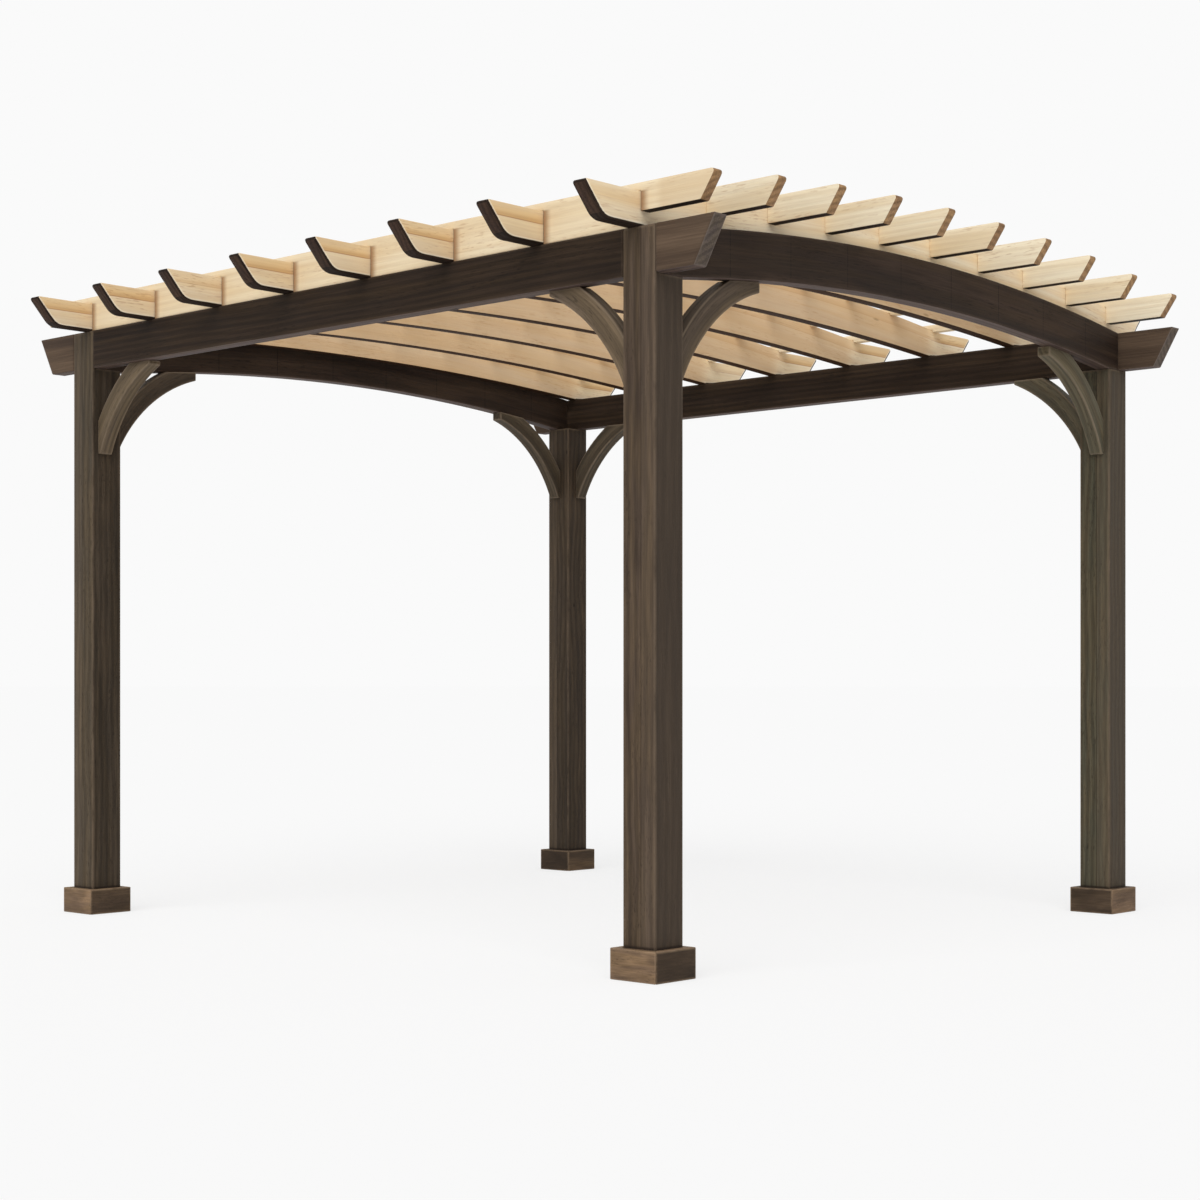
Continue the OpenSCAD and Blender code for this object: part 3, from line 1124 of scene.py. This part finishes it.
# %% Model the eight rafters
bow_radius = 0.060
tip_rounding = 0.020
tip_clear = 1.5 * tip_rounding
belly_steps = 44
tail_steps = 8
bow_steps = 10
tails_from = 1.25
touching = 0.0001


def tail_points(tip):
    """The lower outline of a tail, from the start of the bow round to the end cut."""
    depth = back_spring - beam_top
    lean = math.atan2(depth, rafter_cut)
    bow_x = tip - rafter_cut - bow_radius * math.tan(lean / 2)
    turns = between(0.0, lean, bow_steps)
    return [
        (bow_x + bow_radius * math.sin(t), beam_top + bow_radius * (1 - math.cos(t))) for t in turns
    ]


def round_tips(piece, chosen):
    """Rounds the edges between the chosen points."""
    pick_points(piece, chosen)
    bpy.ops.mesh.bevel(offset=tip_rounding, segments=5, affect="EDGES")
    close_piece()


def model_rafter():
    """The front rafter, with one half of each outline worked out and mirrored."""
    low, high = rafter_low, rafter_high
    tail = tail_points(high.x)
    bow_x = tail[0][0]
    xs = even_steps(0.0, belly_half, belly_steps) + even_steps(belly_half, bow_x, tail_steps)
    reach = even_steps(bow_x, high.x - tip_clear, len(tail) - 1) + [high.x]
    lower = [(x, arc_height(x, belly_half, belly_rise, beam_top)) for x in xs] + tail
    upper = [(x, back_height(x)) for x in xs + reach]
    outlines = [[(-x, z) for x, z in line[:0:-1]] + line for line in (lower, upper)]
    rafter = bent_sheet(*outlines, low.y, high.y - low.y)
    round_tips(rafter, lambda p: abs(p.x) > high.x - touching)
    ease_edges(rafter, radius=0.004)
    return rafter


def stained_tail(centre, normal):
    """Faces of a tail that look down or out along the rafter, with the rounding beside them."""
    flat = math.hypot(normal.x, normal.z)
    low_or_end = normal.z < -0.3 * flat or abs(normal.x) > 0.55 * flat
    return flat > 0.3 and low_or_end and abs(centre.x) > tails_from


def slanting_cut(centre, normal):
    """The flat of a tail's end cut."""
    return abs(normal.x) > 0.6 and abs(normal.y) < 0.1 and normal.z < -mostly


def inner_underside(centre, normal):
    """Faces that look down between the tails."""
    return normal.z < -squarely and abs(centre.x) < tails_from


moves = {name: Matrix.Translation(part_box(name)[0] - rafter_low) for name in rafter_names}
for name, rafter in copies(model_rafter(), moves).items():
    dress(rafter, name, along_roof, "natural_rafter", 0.0 if name == rafter_names[0] else None)
    stain_faces(rafter, "dark_edge", stained_tail)
    stain_faces(rafter, "tail_end", slanting_cut)
    stain_faces(rafter, "shaded_under", inner_underside)
print("rafters", len(rafter_names))

# %% [markdown]
# ## Slats
# The slats run straight across the rafters and are notched over each of them. Their deep tails hook
# over the end rafters and have slanting ends, stained brown, and dark undersides. The left one also
# reaches down to its straight beam. A slat is a shallow block whose tails are pushed down and then
# sawn off at a slant. The notches are cut away with blocks whose tops slope like the rafters' backs.

# %% Model the ten slats
slat_cut = 0.055
slat_depth = 0.081
slat_proud = 0.022
slat_seat = 0.006
notch_gap = 0.0006
notch_room = 0.0004
least_fill = 0.005
middle_half = 0.5
hooks_from = 1.41
downwards = 0.75


def notch_blocks(low, high):
    """One block for every rafter, as wide as the slat and sloping with the rafter's back."""
    blocks = []
    for name in rafter_names:
        start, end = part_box(name)
        top = back_height((low.x + high.x) / 2)
        near = low.x - cut_past, start.y - notch_gap, low.z - cut_past
        block = add_block(near, (high.x + cut_past, end.y + notch_gap, top))
        for point in block.data.vertices:
            if point.co.z > low.z:
                point.co.z = back_height(point.co.x) + notch_room
        blocks.append(block)
    return blocks


def model_slat(name):
    """A slat in its own place. Where its box is deeper than its tails, it is filled down."""
    low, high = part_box(name)
    seat = high.z - slat_proud - slat_seat
    bottom = high.z - slat_depth
    hook = -rafter_low.y
    slat = add_block((low.x, low.y, seat), high)
    for side in (-1, 1):
        saw(slat, (0.0, side * hook, 0.0), (0.0, 1.0, 0.0))
    for side in (1, -1):
        hooks = lambda c, n: n.z < -squarely and side * c.y > hook
        push_faces(slat, hooks, (0.0, 0.0, bottom - seat))
    for side in (-1, 1):
        saw(slat, (0.0, side * high.y, high.z), (0.0, side * slat_depth, -slat_cut), drop=True)
    if low.z < bottom - least_fill:
        fill = -rafter_high.y - notch_gap
        for side in (-1, 1):
            saw(slat, (0.0, side * fill, 0.0), (0.0, 1.0, 0.0))
        inner = (0.0, 0.0, low.z - seat)
        push_faces(slat, lambda c, n: n.z < -squarely and abs(c.y) < middle_half, inner)
    round_tips(slat, lambda p: abs(p.y) > high.y - touching and p.z > seat)
    cut_away(slat, notch_blocks(low, high))
    ease_edges(slat, radius=0.003)
    return slat


def slat_tone(name):
    """The left slat takes more light than the others, and is a little deeper in colour."""
    return 0.9 if name == slat_names[0] else 0.1 * (slat_names.index(name) % 3)


half_count = len(slat_names) // 2
for near, far in zip(slat_names[:half_count], reversed(slat_names)):
    slat = model_slat(near)
    if near == slat_names[0]:
        twin = model_slat(far)
    else:
        twin = placed_copy(slat, mirrored(across_x=True))
    for piece, node in ((slat, near), (twin, far)):
        dress(piece, node, lambda p: (p.y, p.x, p.z), "natural_slat", slat_tone(node))
        stain_faces(piece, "slat_end", end_cut)
        stain_faces(piece, "dark_edge", lambda c, n: n.z < -downwards and abs(c.y) > hooks_from)
print("slats", len(slat_names))
